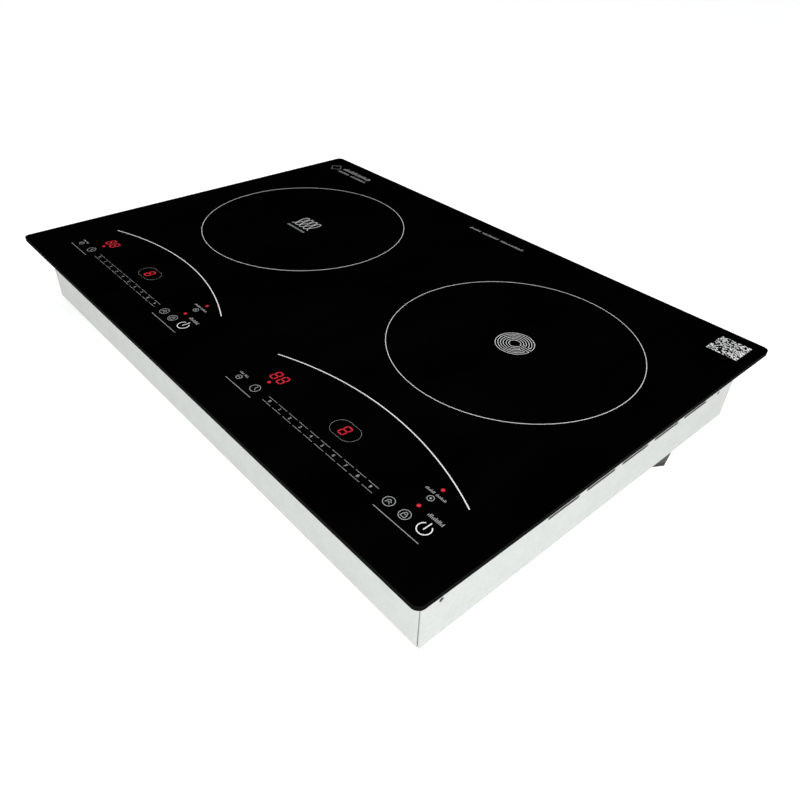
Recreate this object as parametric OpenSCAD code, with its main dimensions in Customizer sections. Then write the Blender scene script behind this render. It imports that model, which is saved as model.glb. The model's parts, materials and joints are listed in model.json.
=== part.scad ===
// Two-zone built-in electric hob: one induction zone (left) and one radiant zone (right)
// under a single sheet of black ceramic glass, in a folded sheet-metal case.
// Millimetres. Origin: middle of the glass, in the plane of the worktop that the rim rests on.
// +X is the user's right, +Y the back, +Z up.

/* [Glass top] */
// Width of the glass, left to right
glass_w = 599; // [598:0.5:610]
// Depth of the glass, front to back
glass_d = 412; // [410:0.5:420]
// Thickness of the glass
glass_t = 4; // [3:0.5:6]
// Radius of the glass corners
glass_r = 6; // [4:1:20]
// Thickness of the foam seal between the glass and the worktop
seal_t = 1.5; // [1:0.25:3]
// Width of the foam seal
seal_w = 8; // [5:0.5:8]

/* [Case] */
// Outer width of the case
case_w = 566; // [563:0.5:566]
// Outer depth of the case
case_d = 371; // [371:0.5:374]
// Height of the whole hob from the case's base to the top of the glass
body_h = 65; // [65:0.5:75]
// Sideways offset of the case's middle from the glass's middle
case_x = 5; // [4.5:0.5:5]
// Front-to-back offset of the case's middle from the glass's middle
case_y = -5; // [-5:0.5:-4]
// Thickness of the sheet metal
sheet_t = 0.8; // [0.6:0.1:1]
// Open seam where two folded sheets meet at a corner
seam_gap = 1; // [0.2:0.1:1.2]
// Width of the folded flange that the glass is glued to
flange_w = 10; // [9:0.5:10]

/* [Side vents] */
// Number of slots in each row
slot_count = 5; // [1:1:5]
// Length of one slot
slot_len = 35; // [20:1:38]
// Height of one slot
slot_h = 2.6; // [2:0.2:4]
// Distance between slots along a row
slot_pitch = 43.5; // [40:0.1:44]
// Number of rows
slot_rows = 3; // [1:1:3]
// Distance between rows
row_pitch = 8; // [6:1:8]
// Number of slots in each row of the back wall
back_slot_count = 7; // [1:1:7]
// Distance between slots along a row of the back wall
back_slot_pitch = 60; // [45:1:60]

/* [Cooking zones] */
// Middle of the left (induction) zone, left to right
induction_x = -150; // [-151:0.5:-149]
// Middle of the right (radiant) zone, left to right
radiant_x = 154; // [153:0.5:155]
// Middle of both zones, front to back
zone_y = 40; // [38:0.5:42]
// Radius of the induction winding
winding_r = 92; // [70:1:93]
// Radius of the radiant heater's dish
dish_r = 104; // [100:1:104]

/* [Fans] */
// Side of the square fan frame
fan_size = 80; // [80:1:80]
// Height of the fan frame
fan_h = 25; // [25:1:26]
// Number of blades on each rotor
blade_count = 7; // [5:1:9]
// Pitch angle of the blades
blade_angle = 35; // [25:1:40]

/* [Cable gland] */
// Radius of the hole for the mains cable
cable_r = 5.2; // [4:0.1:6]
// How far the gland reaches below the case
gland_drop = 20; // [20:1:26]

/* [Hidden] */
$fn = 48;

// Heights
glass_top = seal_t + glass_t;
glue_t = 0.8;
flange_top = seal_t - glue_t;
floor_z = glass_top - body_h;
floor_top = floor_z + sheet_t;

// Outside and inside faces of the case
case_l = case_x - case_w / 2;
case_r = case_x + case_w / 2;
case_f = case_y - case_d / 2;
case_b = case_y + case_d / 2;
pan_l = case_l + sheet_t + seam_gap;
pan_r = case_r - sheet_t - seam_gap;

// Side panels: end tabs behind the front and back walls, feet on the floor
end_tab = 14;
end_tab_lift = 6;
foot_len = 24;
foot_depth = 12;
foot_y = [-140, 0, 150];
screw_r = 1.5;
slot_mid_y = 31.5;
slot_row_z = glass_top - 29.1;
bracket_hole_r = 1.8;
bracket_y = [-174, 156.5];
bracket_z = glass_top - 29.8;

// Cable gland
gland_x = 269.5;
gland_y = 103;
gland_shank_r = 10;
gland_seat_r = 7.5;
gland_cap_top_r = 17.3;
gland_cap_end_r = 15.3;
gland_flange_t = 3;
gland_z = floor_z - gland_drop;

// Mains terminals beside the gland
terminal_low = [244, 130];
terminal_size = [28, 44];
pole_pitch = 13;
pole_z = floor_top + 6;
neutral_y = terminal_low[1] + terminal_size[1] / 2 - pole_pitch;
earth_y = neutral_y + pole_pitch;
line_y = earth_y + pole_pitch;
earth_pos = [226, 160];
earth_tag = 12;

// Coil stack of the induction zone
tray_top = -11;
tray_t = 1;
carrier_top = -3.5;
wire_r = 1.9;
wire_pitch = 3.5;
coil_arms = 8;
post_ring_r = 112;
post_angles = [45, 135, 225, 315];
post_shoulder_z = -30;

// Circuit boards
board_t = 1.6;
board_z = floor_top + 8.4;
board_top = board_z + board_t;
induction_board_low = [-221, -66];
induction_board_high = [-80, 126];
radiant_board_low = [44, -175];
radiant_board_high = [154, -95];
board_inset = 6;
plug_h = 8;
plug_top = board_top + plug_h;
plug_mid = board_top + plug_h / 2;

// Radiant heater
dish_floor_z = -25;
dish_rim_z = -2;
dish_wall = 0.8;
base_top_z = -10;
track_radii = [22, 34, 46, 58, 70, 82];
track_t = 0.6;
bracket_top_z = dish_floor_z - 8;
bracket_half = 112;
bracket_w = 24;

// Fans
fan_left_pos = [-20, 130];
fan_right_pos = [215, -125];
fan_bore_r = 37.5;
fan_hole_pitch = 71.5;
shaft_r = 1.5;
shaft_play = 0.05;
bush_r = 3.5;

// Controls: one panel in front of each zone
panel_left_x = -145.5;
panel_right_x = 155;
panel_y = -148;
carrier_w = 240;
carrier_d = 66;
carrier_z = -16;
carrier_wall = 1.5;
control_board_z = -11;
control_board_top = control_board_z + board_t;
slider_keys = 10;
slider_pitch = 12.9;

steel = [0.78, 0.8, 0.78];
copper = [0.72, 0.42, 0.2];
brass = [0.78, 0.62, 0.3];
pcb_green = [0.1, 0.35, 0.2];
black = [0.06, 0.06, 0.06];
dark_grey = [0.2, 0.21, 0.22];
white = [0.9, 0.9, 0.88];
alloy = [0.7, 0.71, 0.72];

// ---------- Helpers ----------

// A box between two corners
module block(low, high) {
    translate(low) cube(high - low);
}

// A flat plate with round corners, centred in X and Y
module rounded_plate(w, d, r, h) {
    linear_extrude(h) {
        square([w - 2 * r, d], center = true);
        square([w, d - 2 * r], center = true);
        for (sx = [-1, 1], sy = [-1, 1])
            translate([sx * (w / 2 - r), sy * (d / 2 - r)]) circle(r);
    }
}

// A slot with round ends, lying along X, cut upwards through a sheet
module slot(len, wid, depth) {
    linear_extrude(depth) {
        square([len - wid, wid], center = true);
        for (s = [-1, 1]) translate([s * (len - wid) / 2, 0]) circle(wid / 2);
    }
}

// A ring between two radii
module ring(r_out, r_in, h) {
    difference() {
        cylinder(r = r_out, h = h);
        translate([0, 0, -1]) cylinder(r = r_in, h = h + 2);
    }
}

// Points of a smooth curve through the hand-set points of a route
function between(a, b, c, d, t) =
    0.5 * ((2 * b) + (c - a) * t + (2 * a - 5 * b + 4 * c - d) * t * t
    + (3 * b - a - 3 * c + d) * t * t * t);
function smooth_route(p, steps) = [
    for (i = [0 : len(p) - 2], k = [0 : steps - 1])
        between(p[max(i - 1, 0)], p[i], p[i + 1], p[min(i + 2, len(p) - 1)], k / steps),
    p[len(p) - 1]
];
function unit(v) = v / norm(v);
function heading(p, i) = unit(p[min(i + 1, len(p) - 1)] - p[max(i - 1, 0)]);

// A round tube swept along a list of points; up must never lie along the route
module sweep(p, r, sides, up) {
    last = len(p) - 1;
    rings = [
        for (i = [0 : last])
            let (t = heading(p, i), u = unit(cross(t, up)), v = cross(t, u))
            for (k = [0 : sides - 1])
                p[i] + r * (cos(360 * k / sides) * u + sin(360 * k / sides) * v)
    ];
    walls = [
        for (i = [0 : last - 1], k = [0 : sides - 1], half = [0, 1])
            let (a = i * sides, n = (k + 1) % sides, far = a + sides)
            half == 0 ? [a + k, a + n, far + n] : [a + k, far + n, far + k]
    ];
    ends = [
        [for (k = [sides - 1 : -1 : 0]) k],
        [for (k = [0 : sides - 1]) last * sides + k]
    ];
    polyhedron(points = rings, faces = concat(walls, ends), convexity = 6);
}

module wire(route, r) {
    sweep(smooth_route(route, 5), r, 8, [0.31, 0.17, 0.94]);
}

// A compression spring standing on z = 0
module coil_spring(r, wire, height, turns) {
    steps = 12;
    rise = (height - 2 * wire) / (turns * steps);
    helix = [for (i = [0 : turns * steps])
        [r * cos(i * 360 / steps), r * sin(i * 360 / steps), wire + i * rise]];
    sweep(helix, wire, 6, [0, 0, 1]);
}

// ---------- Glass and seals ----------

module glass_panel() {
    color(black) translate([0, 0, seal_t]) rounded_plate(glass_w, glass_d, glass_r, glass_t);
}

// Silicone bead between the case's flanges and the glass
module glass_adhesive() {
    bead_w = flange_w - 2;
    w = case_w - 3;
    d = case_d - 3;
    color(dark_grey) translate([case_x, case_y, flange_top]) difference() {
        rounded_plate(w, d, 3, glue_t);
        translate([0, 0, -1]) rounded_plate(w - 2 * bead_w, d - 2 * bead_w, 2, glue_t + 2);
    }
}

// Foam tape under the overhang of the glass: the face that rests on the worktop
module rim_seal() {
    w = glass_w - 4;
    d = glass_d - 4;
    color(dark_grey) difference() {
        rounded_plate(w, d, glass_r - 2, seal_t);
        translate([0, 0, -1]) rounded_plate(w - 2 * seal_w, d - 2 * seal_w, 2, seal_t + 2);
    }
}

// ---------- Case ----------

// Slots in the floor under a fan, inside the round mouth of the fan
module intake_grille(pos) {
    bar_pitch = 7;
    mouth_r = 35;
    for (i = [-4 : 4]) {
        y = i * bar_pitch;
        half = sqrt(mouth_r * mouth_r - y * y);
        translate([pos[0], pos[1] + y, floor_z - 1]) slot(2 * half, 3.6, sheet_t + 2);
    }
}

module fan_holes(pos, r, z, h) {
    for (sx = [-1, 1], sy = [-1, 1])
        translate([pos[0] + sx * fan_hole_pitch / 2, pos[1] + sy * fan_hole_pitch / 2, z])
            cylinder(r = r, h = h);
}

module foot_screws(r, z, h) {
    for (x = [case_l + foot_depth / 2 + 1, case_r - foot_depth / 2 - 1], y = foot_y)
        translate([x, y, z]) cylinder(r = r, h = h);
}

// Floor, front wall and back wall folded from one sheet
module base_pan() {
    back_slots = [
        for (i = [0 : back_slot_count - 1])
            case_x + (i - (back_slot_count - 1) / 2) * back_slot_pitch
    ];
    color(steel) difference() {
        union() {
            block([pan_l, case_f, floor_z], [pan_r, case_b, floor_top]);
            block([pan_l, case_f, floor_z], [pan_r, case_f + sheet_t, flange_top]);
            block([pan_l, case_b - sheet_t, floor_z], [pan_r, case_b, flange_top]);
            block([pan_l, case_f, flange_top - sheet_t], [pan_r, case_f + flange_w, flange_top]);
            block([pan_l, case_b - flange_w, flange_top - sheet_t], [pan_r, case_b, flange_top]);
        }
        intake_grille(fan_left_pos);
        intake_grille(fan_right_pos);
        fan_holes(fan_left_pos, 2.2, floor_z - 1, sheet_t + 2);
        fan_holes(fan_right_pos, 2.2, floor_z - 1, sheet_t + 2);
        foot_screws(screw_r + 0.2, floor_z - 1, sheet_t + 2);
        translate([gland_x, gland_y, floor_z - 1])
            cylinder(r = gland_shank_r + 0.2, h = sheet_t + 2);
        translate([earth_pos[0], earth_pos[1], floor_z - 1]) cylinder(r = 2.05, h = sheet_t + 2);
        for (x = back_slots, row = [0 : slot_rows - 1])
            translate([x, case_b + 1, slot_row_z + row * row_pitch])
                rotate([90, 0, 0]) slot(slot_len, slot_h, sheet_t + 2);
    }
}

// One side wall, with side = 1 on the right and -1 on the left
module side_panel(side) {
    outer = side > 0 ? case_r : -case_l;
    inner = outer - sheet_t;
    flip = side > 0 ? 0 : 1;
    color(steel) mirror([flip, 0, 0]) difference() {
        union() {
            block([inner, case_f, floor_z], [outer, case_b, flange_top]);
            block([outer - flange_w, case_f + flange_w + 1, flange_top - sheet_t],
                [outer, case_b - flange_w - 1, flange_top]);
            for (y = [case_f + sheet_t, case_b - 2 * sheet_t])
                block([inner - end_tab, y, floor_top + end_tab_lift],
                    [outer, y + sheet_t, flange_top - 3]);
            for (y = foot_y)
                block([outer - foot_depth - sheet_t, y - foot_len / 2, floor_top],
                    [outer, y + foot_len / 2, floor_top + sheet_t]);
        }
        for (i = [0 : slot_count - 1], row = [0 : slot_rows - 1])
            translate([inner - 1, slot_mid_y + (i - (slot_count - 1) / 2) * slot_pitch,
                slot_row_z + row * row_pitch])
                rotate([90, 0, 90]) slot(slot_len, slot_h, sheet_t + 2);
        for (y = bracket_y)
            translate([inner - 1, y, bracket_z]) rotate([0, 90, 0])
                cylinder(r = bracket_hole_r, h = sheet_t + 2);
        for (y = foot_y)
            translate([outer - foot_depth / 2 - 1, y, floor_top - 1])
                cylinder(r = screw_r, h = sheet_t + 2);
    }
}

module side_panel_left() {
    side_panel(-1);
}

module side_panel_right() {
    side_panel(1);
}

// Pan-head screws up through the floor into the feet of the side panels
module case_screws() {
    color(alloy) {
        foot_screws(3, floor_z - 1.8, 1.8);
        foot_screws(screw_r, floor_z - 0.1, 7);
    }
}

// Heat shield between the induction electronics and the radiant heater
module partition_plate() {
    x = 31;
    front = -180;
    back = 164;
    color(steel) difference() {
        union() {
            block([x - sheet_t / 2, front, floor_top], [x + sheet_t / 2, back, carrier_z - 4]);
            block([x - 10, front, floor_top], [x, -100, floor_top + sheet_t]);
            block([x, 0, floor_top], [x + 10, 80, floor_top + sheet_t]);
        }
        for (y = [-150, -60, 20])
            translate([x - 2, y, floor_top + 22]) rotate([0, 90, 0]) cylinder(r = 4, h = 4);
    }
}

// ---------- Cable gland and mains terminals ----------

module at_gland(z) {
    translate([gland_x, gland_y, z]) children();
}

module gland_body() {
    color(black) at_gland(0) difference() {
        union() {
            translate([0, 0, floor_z - gland_flange_t]) cylinder(r = 16, h = gland_flange_t);
            translate([0, 0, floor_z - 11]) cylinder(r = gland_shank_r, h = 19.8);
        }
        translate([0, 0, floor_z - 12]) cylinder(r = gland_seat_r, h = 22);
    }
}

// Six-sided tapered compression nut, closed in to a lip that holds the seal
module gland_cap() {
    lip = 2.5;
    top_z = floor_z - gland_flange_t;
    color(dark_grey) at_gland(0) difference() {
        translate([0, 0, gland_z])
            cylinder(r1 = gland_cap_end_r, r2 = gland_cap_top_r, h = top_z - gland_z, $fn = 6);
        translate([0, 0, gland_z + lip])
            cylinder(r = gland_shank_r + 0.15, h = top_z - gland_z);
        translate([0, 0, gland_z - 1]) cylinder(r = cable_r + 1.5, h = lip + 2);
    }
}

// Rubber sleeve that grips the cable
module gland_seal() {
    low = gland_z + 2.6;
    high = floor_z - 2;
    color(black) at_gland(low) difference() {
        union() {
            cylinder(r = gland_shank_r, h = floor_z - 11.1 - low);
            cylinder(r = gland_seat_r - 0.1, h = high - low);
        }
        translate([0, 0, -1]) cylinder(r = cable_r, h = high - low + 2);
    }
}

module gland_locknut() {
    color(black) at_gland(floor_top) difference() {
        cylinder(r = 14, h = 5, $fn = 6);
        translate([0, 0, -1]) cylinder(r = gland_shank_r + 0.1, h = 7);
    }
}

// Three-pole screw terminal beside the gland
module terminal_block() {
    low = [terminal_low[0], terminal_low[1], floor_top];
    wide = terminal_size[0];
    long = terminal_size[1];
    color(white) difference() {
        union() {
            block(low, low + [wide, long, 14]);
            block(low + [7, 0, 13], low + [wide - 7, long, 18]);
        }
        for (y = [neutral_y, earth_y, line_y]) {
            translate([low[0] - 1, y, pole_z]) rotate([0, 90, 0]) cylinder(r = 3, h = wide + 2);
            translate([low[0] + wide / 2, y, pole_z]) cylinder(r = 2.6, h = 13);
        }
    }
}

// Earth screw with its washer and ring tag
module earth_screw() {
    color(brass) translate([earth_pos[0], earth_pos[1], floor_top]) {
        cylinder(r = 5, h = 1);
        cylinder(r = 3.6, h = 4, $fn = 6);
        translate([0, 0, -6]) cylinder(r = 2, h = 7);
        block([0, -2, 0.9], [earth_tag, 2, 1.9]);
    }
}

// ---------- Induction zone ----------

module at_coil(z) {
    translate([induction_x, zone_y, z]) children();
}

module at_posts() {
    for (a = post_angles) rotate(a) translate([post_ring_r, 0]) children();
}

// Aluminium plate under the coil, with four ears that float on springs
module coil_tray() {
    color(alloy) at_coil(tray_top - tray_t) linear_extrude(tray_t) difference() {
        union() {
            circle(r = 100, $fn = 96);
            for (a = post_angles) rotate(a) translate([90, -8]) square([22, 16]);
            at_posts() circle(r = 8);
        }
        at_posts() circle(r = 3);
        circle(r = 12);
        for (a = [0 : 45 : 315]) rotate(a + 22.5) translate([60, 0]) circle(r = 9);
    }
}

// Plastic spider that holds the winding above and the ferrites below
module coil_carrier() {
    arm_w = 15;
    color(black) at_coil(tray_top) difference() {
        linear_extrude(carrier_top - tray_top) {
            difference() {
                circle(r = 24);
                circle(r = 13);
            }
            difference() {
                circle(r = 97, $fn = 96);
                circle(r = 92.5, $fn = 96);
            }
            for (i = [0 : coil_arms - 1])
                rotate(i * 360 / coil_arms) translate([20, -arm_w / 2]) square([75, arm_w]);
        }
        for (i = [0 : coil_arms - 1])
            rotate(i * 360 / coil_arms) translate([28, -5.1, -1]) cube([60.2, 10.2, 6]);
    }
}

module ferrite_bars() {
    color([0.25, 0.25, 0.27]) at_coil(tray_top)
        for (i = [0 : coil_arms - 1])
            rotate(i * 360 / coil_arms) translate([28.1, -5, 0]) cube([60, 10, 4.9]);
}

// Flat litz winding: an inner and an outer band of turns
module coil_winding() {
    band_starts = [30, 58];
    band_ends = [50, winding_r];
    color(copper) at_coil(carrier_top + wire_r + 0.05) rotate_extrude($fn = 96) {
        for (b = [0, 1], r = [band_starts[b] : wire_pitch : band_ends[b]])
            translate([r, 0]) circle(r = wire_r, $fn = 16);
    }
    color(copper) at_coil(carrier_top + wire_r + 0.05)
        rotate([0, 90, 22.5]) translate([0, 0, 46]) cylinder(r = wire_r - 0.1, h = 13);
}

// Heat-resistant sheet between the winding and the glass
module coil_insulation() {
    thick = 1;
    color([0.85, 0.82, 0.72]) at_coil(seal_t - thick) difference() {
        cylinder(r = 97, h = thick, $fn = 96);
        translate([0, 0, -1]) cylinder(r = 10, h = thick + 2);
    }
}

// Temperature sensor pressed against the glass in the middle of the coil
module coil_sensor() {
    color(white) at_coil(tray_top) {
        cylinder(r = 12.5, h = 2);
        cylinder(r = 9, h = seal_t - tray_top - 0.1);
    }
}

// Shouldered pillars that the tray's ears slide on
module coil_posts() {
    color(alloy) at_coil(0) at_posts() {
        translate([0, 0, floor_top]) cylinder(r = 5, h = post_shoulder_z - floor_top);
        translate([0, 0, post_shoulder_z - 1]) cylinder(r = 2.5, h = -7 - post_shoulder_z);
        translate([0, 0, -8]) cylinder(r = 4.2, h = 1.6);
    }
}

module coil_springs() {
    spring_h = tray_top - tray_t - post_shoulder_z - 0.1;
    color(alloy) at_coil(post_shoulder_z + 0.05) at_posts() coil_spring(4, 0.5, spring_h, 5);
}

// The winding's two ends, down to the power board
module coil_leads() {
    routes = [
        [[-107, -41, -1.55], [-103.5, -47, -1.7], [-101, -52, -7], [-100, -52, -20],
            [-95, -45, -31], [-93, -42, -36], [-93, -42, plug_top]],
        [[-126.3, -48.4, -1.55], [-124.5, -55.5, -1.7], [-122.5, -61.5, -7], [-120, -62, -20],
            [-112, -50, -28], [-103, -30, -29], [-95, -12, -32], [-93, -8, -36],
            [-93, -8, plug_top]]
    ];
    color(copper) for (route = routes) wire(route, 1.5);
}

module plate_with_holes(low, high, z, hole_r) {
    difference() {
        block([low[0], low[1], z], [high[0], high[1], z + board_t]);
        for (x = [low[0] + board_inset, high[0] - board_inset],
            y = [low[1] + board_inset, high[1] - board_inset])
            translate([x, y, z - 1]) cylinder(r = hole_r, h = board_t + 2);
    }
}

module induction_board() {
    color(pcb_green) plate_with_holes(induction_board_low, induction_board_high, board_z, 1.7);
}

module radiant_board() {
    color(pcb_green) plate_with_holes(radiant_board_low, radiant_board_high, board_z, 1.7);
}

// Snap-in plastic pillars under both boards
module board_standoffs() {
    corners = [
        for (b = [[induction_board_low, induction_board_high],
                [radiant_board_low, radiant_board_high]],
            i = [0, 1], j = [0, 1])
            [b[i][0] + (i == 0 ? board_inset : -board_inset),
                b[j][1] + (j == 0 ? board_inset : -board_inset)]
    ];
    color(white) for (c = corners) translate([c[0], c[1], 0]) {
        translate([0, 0, floor_top]) cylinder(r = 3.5, h = board_z - floor_top);
        translate([0, 0, board_z - 1]) cylinder(r = 1.6, h = board_t + 2);
        translate([0, 0, board_top]) cylinder(r = 2.6, h = 2);
    }
}

// Finned extrusion that stands on the power devices
module heat_sink() {
    low = [-150, 48, board_top + 5];
    size = [60, 64, 18];
    fins = 11;
    fin_t = 1.4;
    color(alloy) {
        block(low, low + [size[0], size[1], 4]);
        for (i = [0 : fins - 1]) {
            y = low[1] + i * (size[1] - fin_t) / (fins - 1);
            block([low[0], y, low[2] + 3.9], [low[0] + size[0], y + fin_t, low[2] + size[2]]);
        }
    }
}

module power_transistors() {
    color(black) for (y = [58, 86]) {
        difference() {
            block([-144, y, board_top], [-123, y + 16, board_top + 5]);
            translate([-128, y + 8, board_top - 1]) cylinder(r = 1.8, h = 7);
        }
        for (i = [-1 : 1])
            block([-149, y + 7.4 + i * 5, board_top], [-143.9, y + 8.6 + i * 5, board_top + 1]);
    }
}

module bridge_rectifier() {
    color(black) difference() {
        block([-116, 65, board_top], [-96, 95, board_top + 4.9]);
        translate([-106, 92, board_top - 1]) cylinder(r = 1.6, h = 7);
    }
}

module film_capacitors() {
    color([0.85, 0.7, 0.2]) {
        block([-209, 86, board_top], [-171, 104, board_top + 22]);
        block([-209, 58, board_top], [-171, 76, board_top + 22]);
        block([-208, -58, board_top], [-182, -44, board_top + 18]);
    }
}

module electrolytic_capacitors() {
    spots = [[-206, 30], [-189, 30], [-206, 8]];
    color([0.15, 0.15, 0.3]) for (s = spots) translate([s[0], s[1], board_top]) difference() {
        cylinder(r = 6.5, h = 18);
        translate([0, 0, 17.6]) ring(6.6, 5.2, 1);
    }
}

// Toroidal choke lying flat on its base
module filter_choke() {
    color(copper) translate([-120, -18, board_top]) {
        cylinder(r = 15, h = 3);
        translate([0, 0, 8]) rotate_extrude() translate([13, 0]) circle(r = 6.5);
    }
}

// Ferrite-cored supply transformers, one on each board
module supply_transformers() {
    spots = [[-175, -14], [112, -140]];
    color([0.8, 0.6, 0.15]) for (s = spots) translate([s[0], s[1], board_top]) {
        block([-11, -10, 0], [11, 10, 4]);
        block([-6, -7, 3.9], [6, 7, 13.1]);
        block([-11, -4, 3.9], [11, 4, 17]);
        block([-11, -10, 13], [11, 10, 16]);
    }
}

// Glass tube fuse in two clips
module line_fuse() {
    color(alloy) translate([-148, -56, board_top + 4]) {
        for (s = [-1, 1]) translate([s * 8, 0, 0]) block([-2.5, -3, -4], [2.5, 3, 0]);
        rotate([0, 90, 0]) {
            translate([0, 0, -10]) cylinder(r = 2.6, h = 20);
            for (z = [-10.5, 5.5]) translate([0, 0, z]) cylinder(r = 3.1, h = 5);
        }
    }
}

// White plastic plugs that the wires end in
module wire_connectors() {
    plugs = [
        [[-100, -14], [-86, -2]], [[-100, -48], [-86, -36]], [[-160, 112], [-140, 124]],
        [[-130, -64], [-112, -54]], [[122, -112], [142, -100]], [[90, -110], [108, -100]]
    ];
    color(white) for (p = plugs)
        block([p[0][0], p[0][1], board_top], [p[1][0], p[1][1], plug_top]);
}

// ---------- Radiant zone ----------

module at_dish(z) {
    translate([radiant_x, zone_y, z]) children();
}

// The space that the limiter rod passes through, at the front of the heater
module limiter_slot() {
    translate([-3, -dish_r - 2, -5.5]) cube([6, 20, 9]);
}

module radiant_dish() {
    color(steel) at_dish(0) difference() {
        translate([0, 0, dish_floor_z])
            cylinder(r = dish_r, h = dish_rim_z - dish_floor_z, $fn = 96);
        translate([0, 0, dish_floor_z + dish_wall])
            cylinder(r = dish_r - dish_wall, h = 40, $fn = 96);
        limiter_slot();
    }
}

// Pressed disc of microporous insulation
module insulation_base() {
    low = dish_floor_z + dish_wall;
    color(white) at_dish(low) cylinder(r = dish_r - 1, h = base_top_z - low, $fn = 96);
}

// Insulating rim that presses up against the glass
module insulation_ring() {
    color([0.87, 0.86, 0.82]) at_dish(0) difference() {
        translate([0, 0, base_top_z]) ring(dish_r - 1, dish_r - 12, seal_t - base_top_z, $fn = 96);
        limiter_slot();
    }
}

// Resistance ribbon on edge: open rings joined in one run
module heating_ribbon() {
    h = 4.6;
    gap = 14;
    color([0.55, 0.4, 0.35]) at_dish(base_top_z) linear_extrude(h) {
        for (i = [0 : len(track_radii) - 1]) difference() {
            circle(r = track_radii[i], $fn = 72);
            circle(r = track_radii[i] - track_t, $fn = 72);
            translate([0, -gap / 2]) square([200, gap]);
        }
        for (i = [0 : len(track_radii) - 2]) {
            side = i % 2 == 0 ? 1 : -1;
            inner = sqrt(pow(track_radii[i], 2) - pow(gap / 2, 2));
            outer = sqrt(pow(track_radii[i + 1], 2) - pow(gap / 2, 2));
            translate([inner - 1, side * gap / 2 - (side > 0 ? 0 : track_t)])
                square([outer - inner + 0.8, track_t]);
        }
    }
}

// Glass rod of the temperature limiter, over the ribbon
module limiter_rod() {
    color(white) at_dish(-2.4) rotate([90, 0, 0]) translate([0, 0, -20])
        cylinder(r = 2.4, h = 126);
}

module limiter_switch() {
    color(white) at_dish(0) {
        block([-12, -128, -15], [12, -106, 0]);
        block([-9, -126, -18], [-5, -118, -14.9]);
        block([5, -126, -18], [9, -118, -14.9]);
    }
}

// Ceramic block with the two tabs that feed the ribbon
module element_terminal() {
    color(white) at_dish(0) {
        block([22, -114, -22], [42, -101.7, -10]);
        for (x = [26, 35]) block([x, -121, -17], [x + 4, -113.9, -16]);
    }
}

// Sheet bridge that carries the heater on three springs
module dish_bracket() {
    foot = 12;
    color(steel) at_dish(0) {
        block([-bracket_half, -bracket_w / 2, bracket_top_z - 1],
            [bracket_half, bracket_w / 2, bracket_top_z]);
        for (s = [0, 1]) mirror([s, 0, 0]) {
            block([-bracket_half, -bracket_w / 2, floor_top],
                [1 - bracket_half, bracket_w / 2, bracket_top_z]);
            block([-bracket_half, -bracket_w / 2, floor_top],
                [foot - bracket_half, bracket_w / 2, floor_top + 1]);
        }
    }
}

module dish_springs() {
    gap = dish_floor_z - bracket_top_z;
    color(alloy) at_dish(bracket_top_z + 0.05)
        for (x = [-70, 0, 70]) translate([x, 0, 0]) coil_spring(6, 0.6, gap - 0.1, 3);
}

// Two heat-proof wires from the relay board to the heater's tabs
module element_leads() {
    routes = [
        [[182, -81, -16.5], [182, -86, -17], [178, -95, -23], [160, -103, -31], [142, -106, -34],
            [137, -106, -37], [137, -106, plug_top]],
        [[191, -81, -16.5], [191, -87, -17], [184, -99, -25], [162, -110, -32], [134, -108, -34],
            [127, -106, -37], [127, -106, plug_top]]
    ];
    color([0.85, 0.85, 0.8]) for (route = routes) wire(route, 1.4);
}

module power_relays() {
    color([0.1, 0.2, 0.5]) for (y = [-165, -143]) {
        block([58, y, board_top], [87, y + 13, board_top + 22]);
        block([56, y + 1, board_top], [58.1, y + 12, board_top + 4]);
    }
}

// ---------- Fans ----------

module at_fan(pos, z) {
    translate([pos[0], pos[1], floor_top + z]) children();
}

module fan_frame(pos) {
    hub_r = 16;
    at_fan(pos, 0) {
        difference() {
            rounded_plate(fan_size, fan_size, 4, fan_h);
            translate([0, 0, -1]) cylinder(r = fan_bore_r, h = fan_h + 2, $fn = 96);
            for (sx = [-1, 1], sy = [-1, 1])
                translate([sx * fan_hole_pitch / 2, sy * fan_hole_pitch / 2, -1])
                    cylinder(r = 2, h = fan_h + 2);
        }
        difference() {
            union() {
                cylinder(r = hub_r, h = 3);
                cylinder(r = 5, h = 16);
                for (a = [20 : 90 : 290]) rotate(a) translate([0, -1.5, 0]) cube([38.5, 3, 3]);
            }
            translate([0, 0, 3]) cylinder(r = bush_r, h = 20);
        }
    }
}

module fan_frames() {
    color(black) {
        fan_frame(fan_left_pos);
        fan_frame(fan_right_pos);
    }
}

// Cup-shaped hub with pitched blades
module fan_rotor(pos) {
    tip_r = fan_bore_r - 1;
    hub_r = 17;
    blade_w = 25;
    color(dark_grey) at_fan(pos, 0) difference() {
        union() {
            translate([0, 0, 4.5]) cylinder(r = hub_r, h = 19);
            intersection() {
                translate([0, 0, 5]) cylinder(r = tip_r, h = 18, $fn = 96);
                for (i = [0 : blade_count - 1]) rotate(i * 360 / blade_count)
                    translate([26.5, 0, 14]) rotate([blade_angle, 0, 0])
                        cube([24, blade_w, 1.6], center = true);
            }
        }
        translate([0, 0, 4]) cylinder(r = hub_r - 2.5, h = 17);
        translate([0, 0, 20]) cylinder(r = shaft_r, h = 2);
    }
}

module fan_rotor_left() {
    fan_rotor(fan_left_pos);
}

module fan_rotor_right() {
    fan_rotor(fan_right_pos);
}

module fan_shaft(pos) {
    color(alloy) at_fan(pos, 4) cylinder(r = shaft_r, h = 18);
}

module fan_shaft_left() {
    fan_shaft(fan_left_pos);
}

module fan_shaft_right() {
    fan_shaft(fan_right_pos);
}

module fan_bearings() {
    color(brass) for (pos = [fan_left_pos, fan_right_pos])
        at_fan(pos, 3) ring(bush_r, shaft_r + shaft_play, 13);
}

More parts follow.
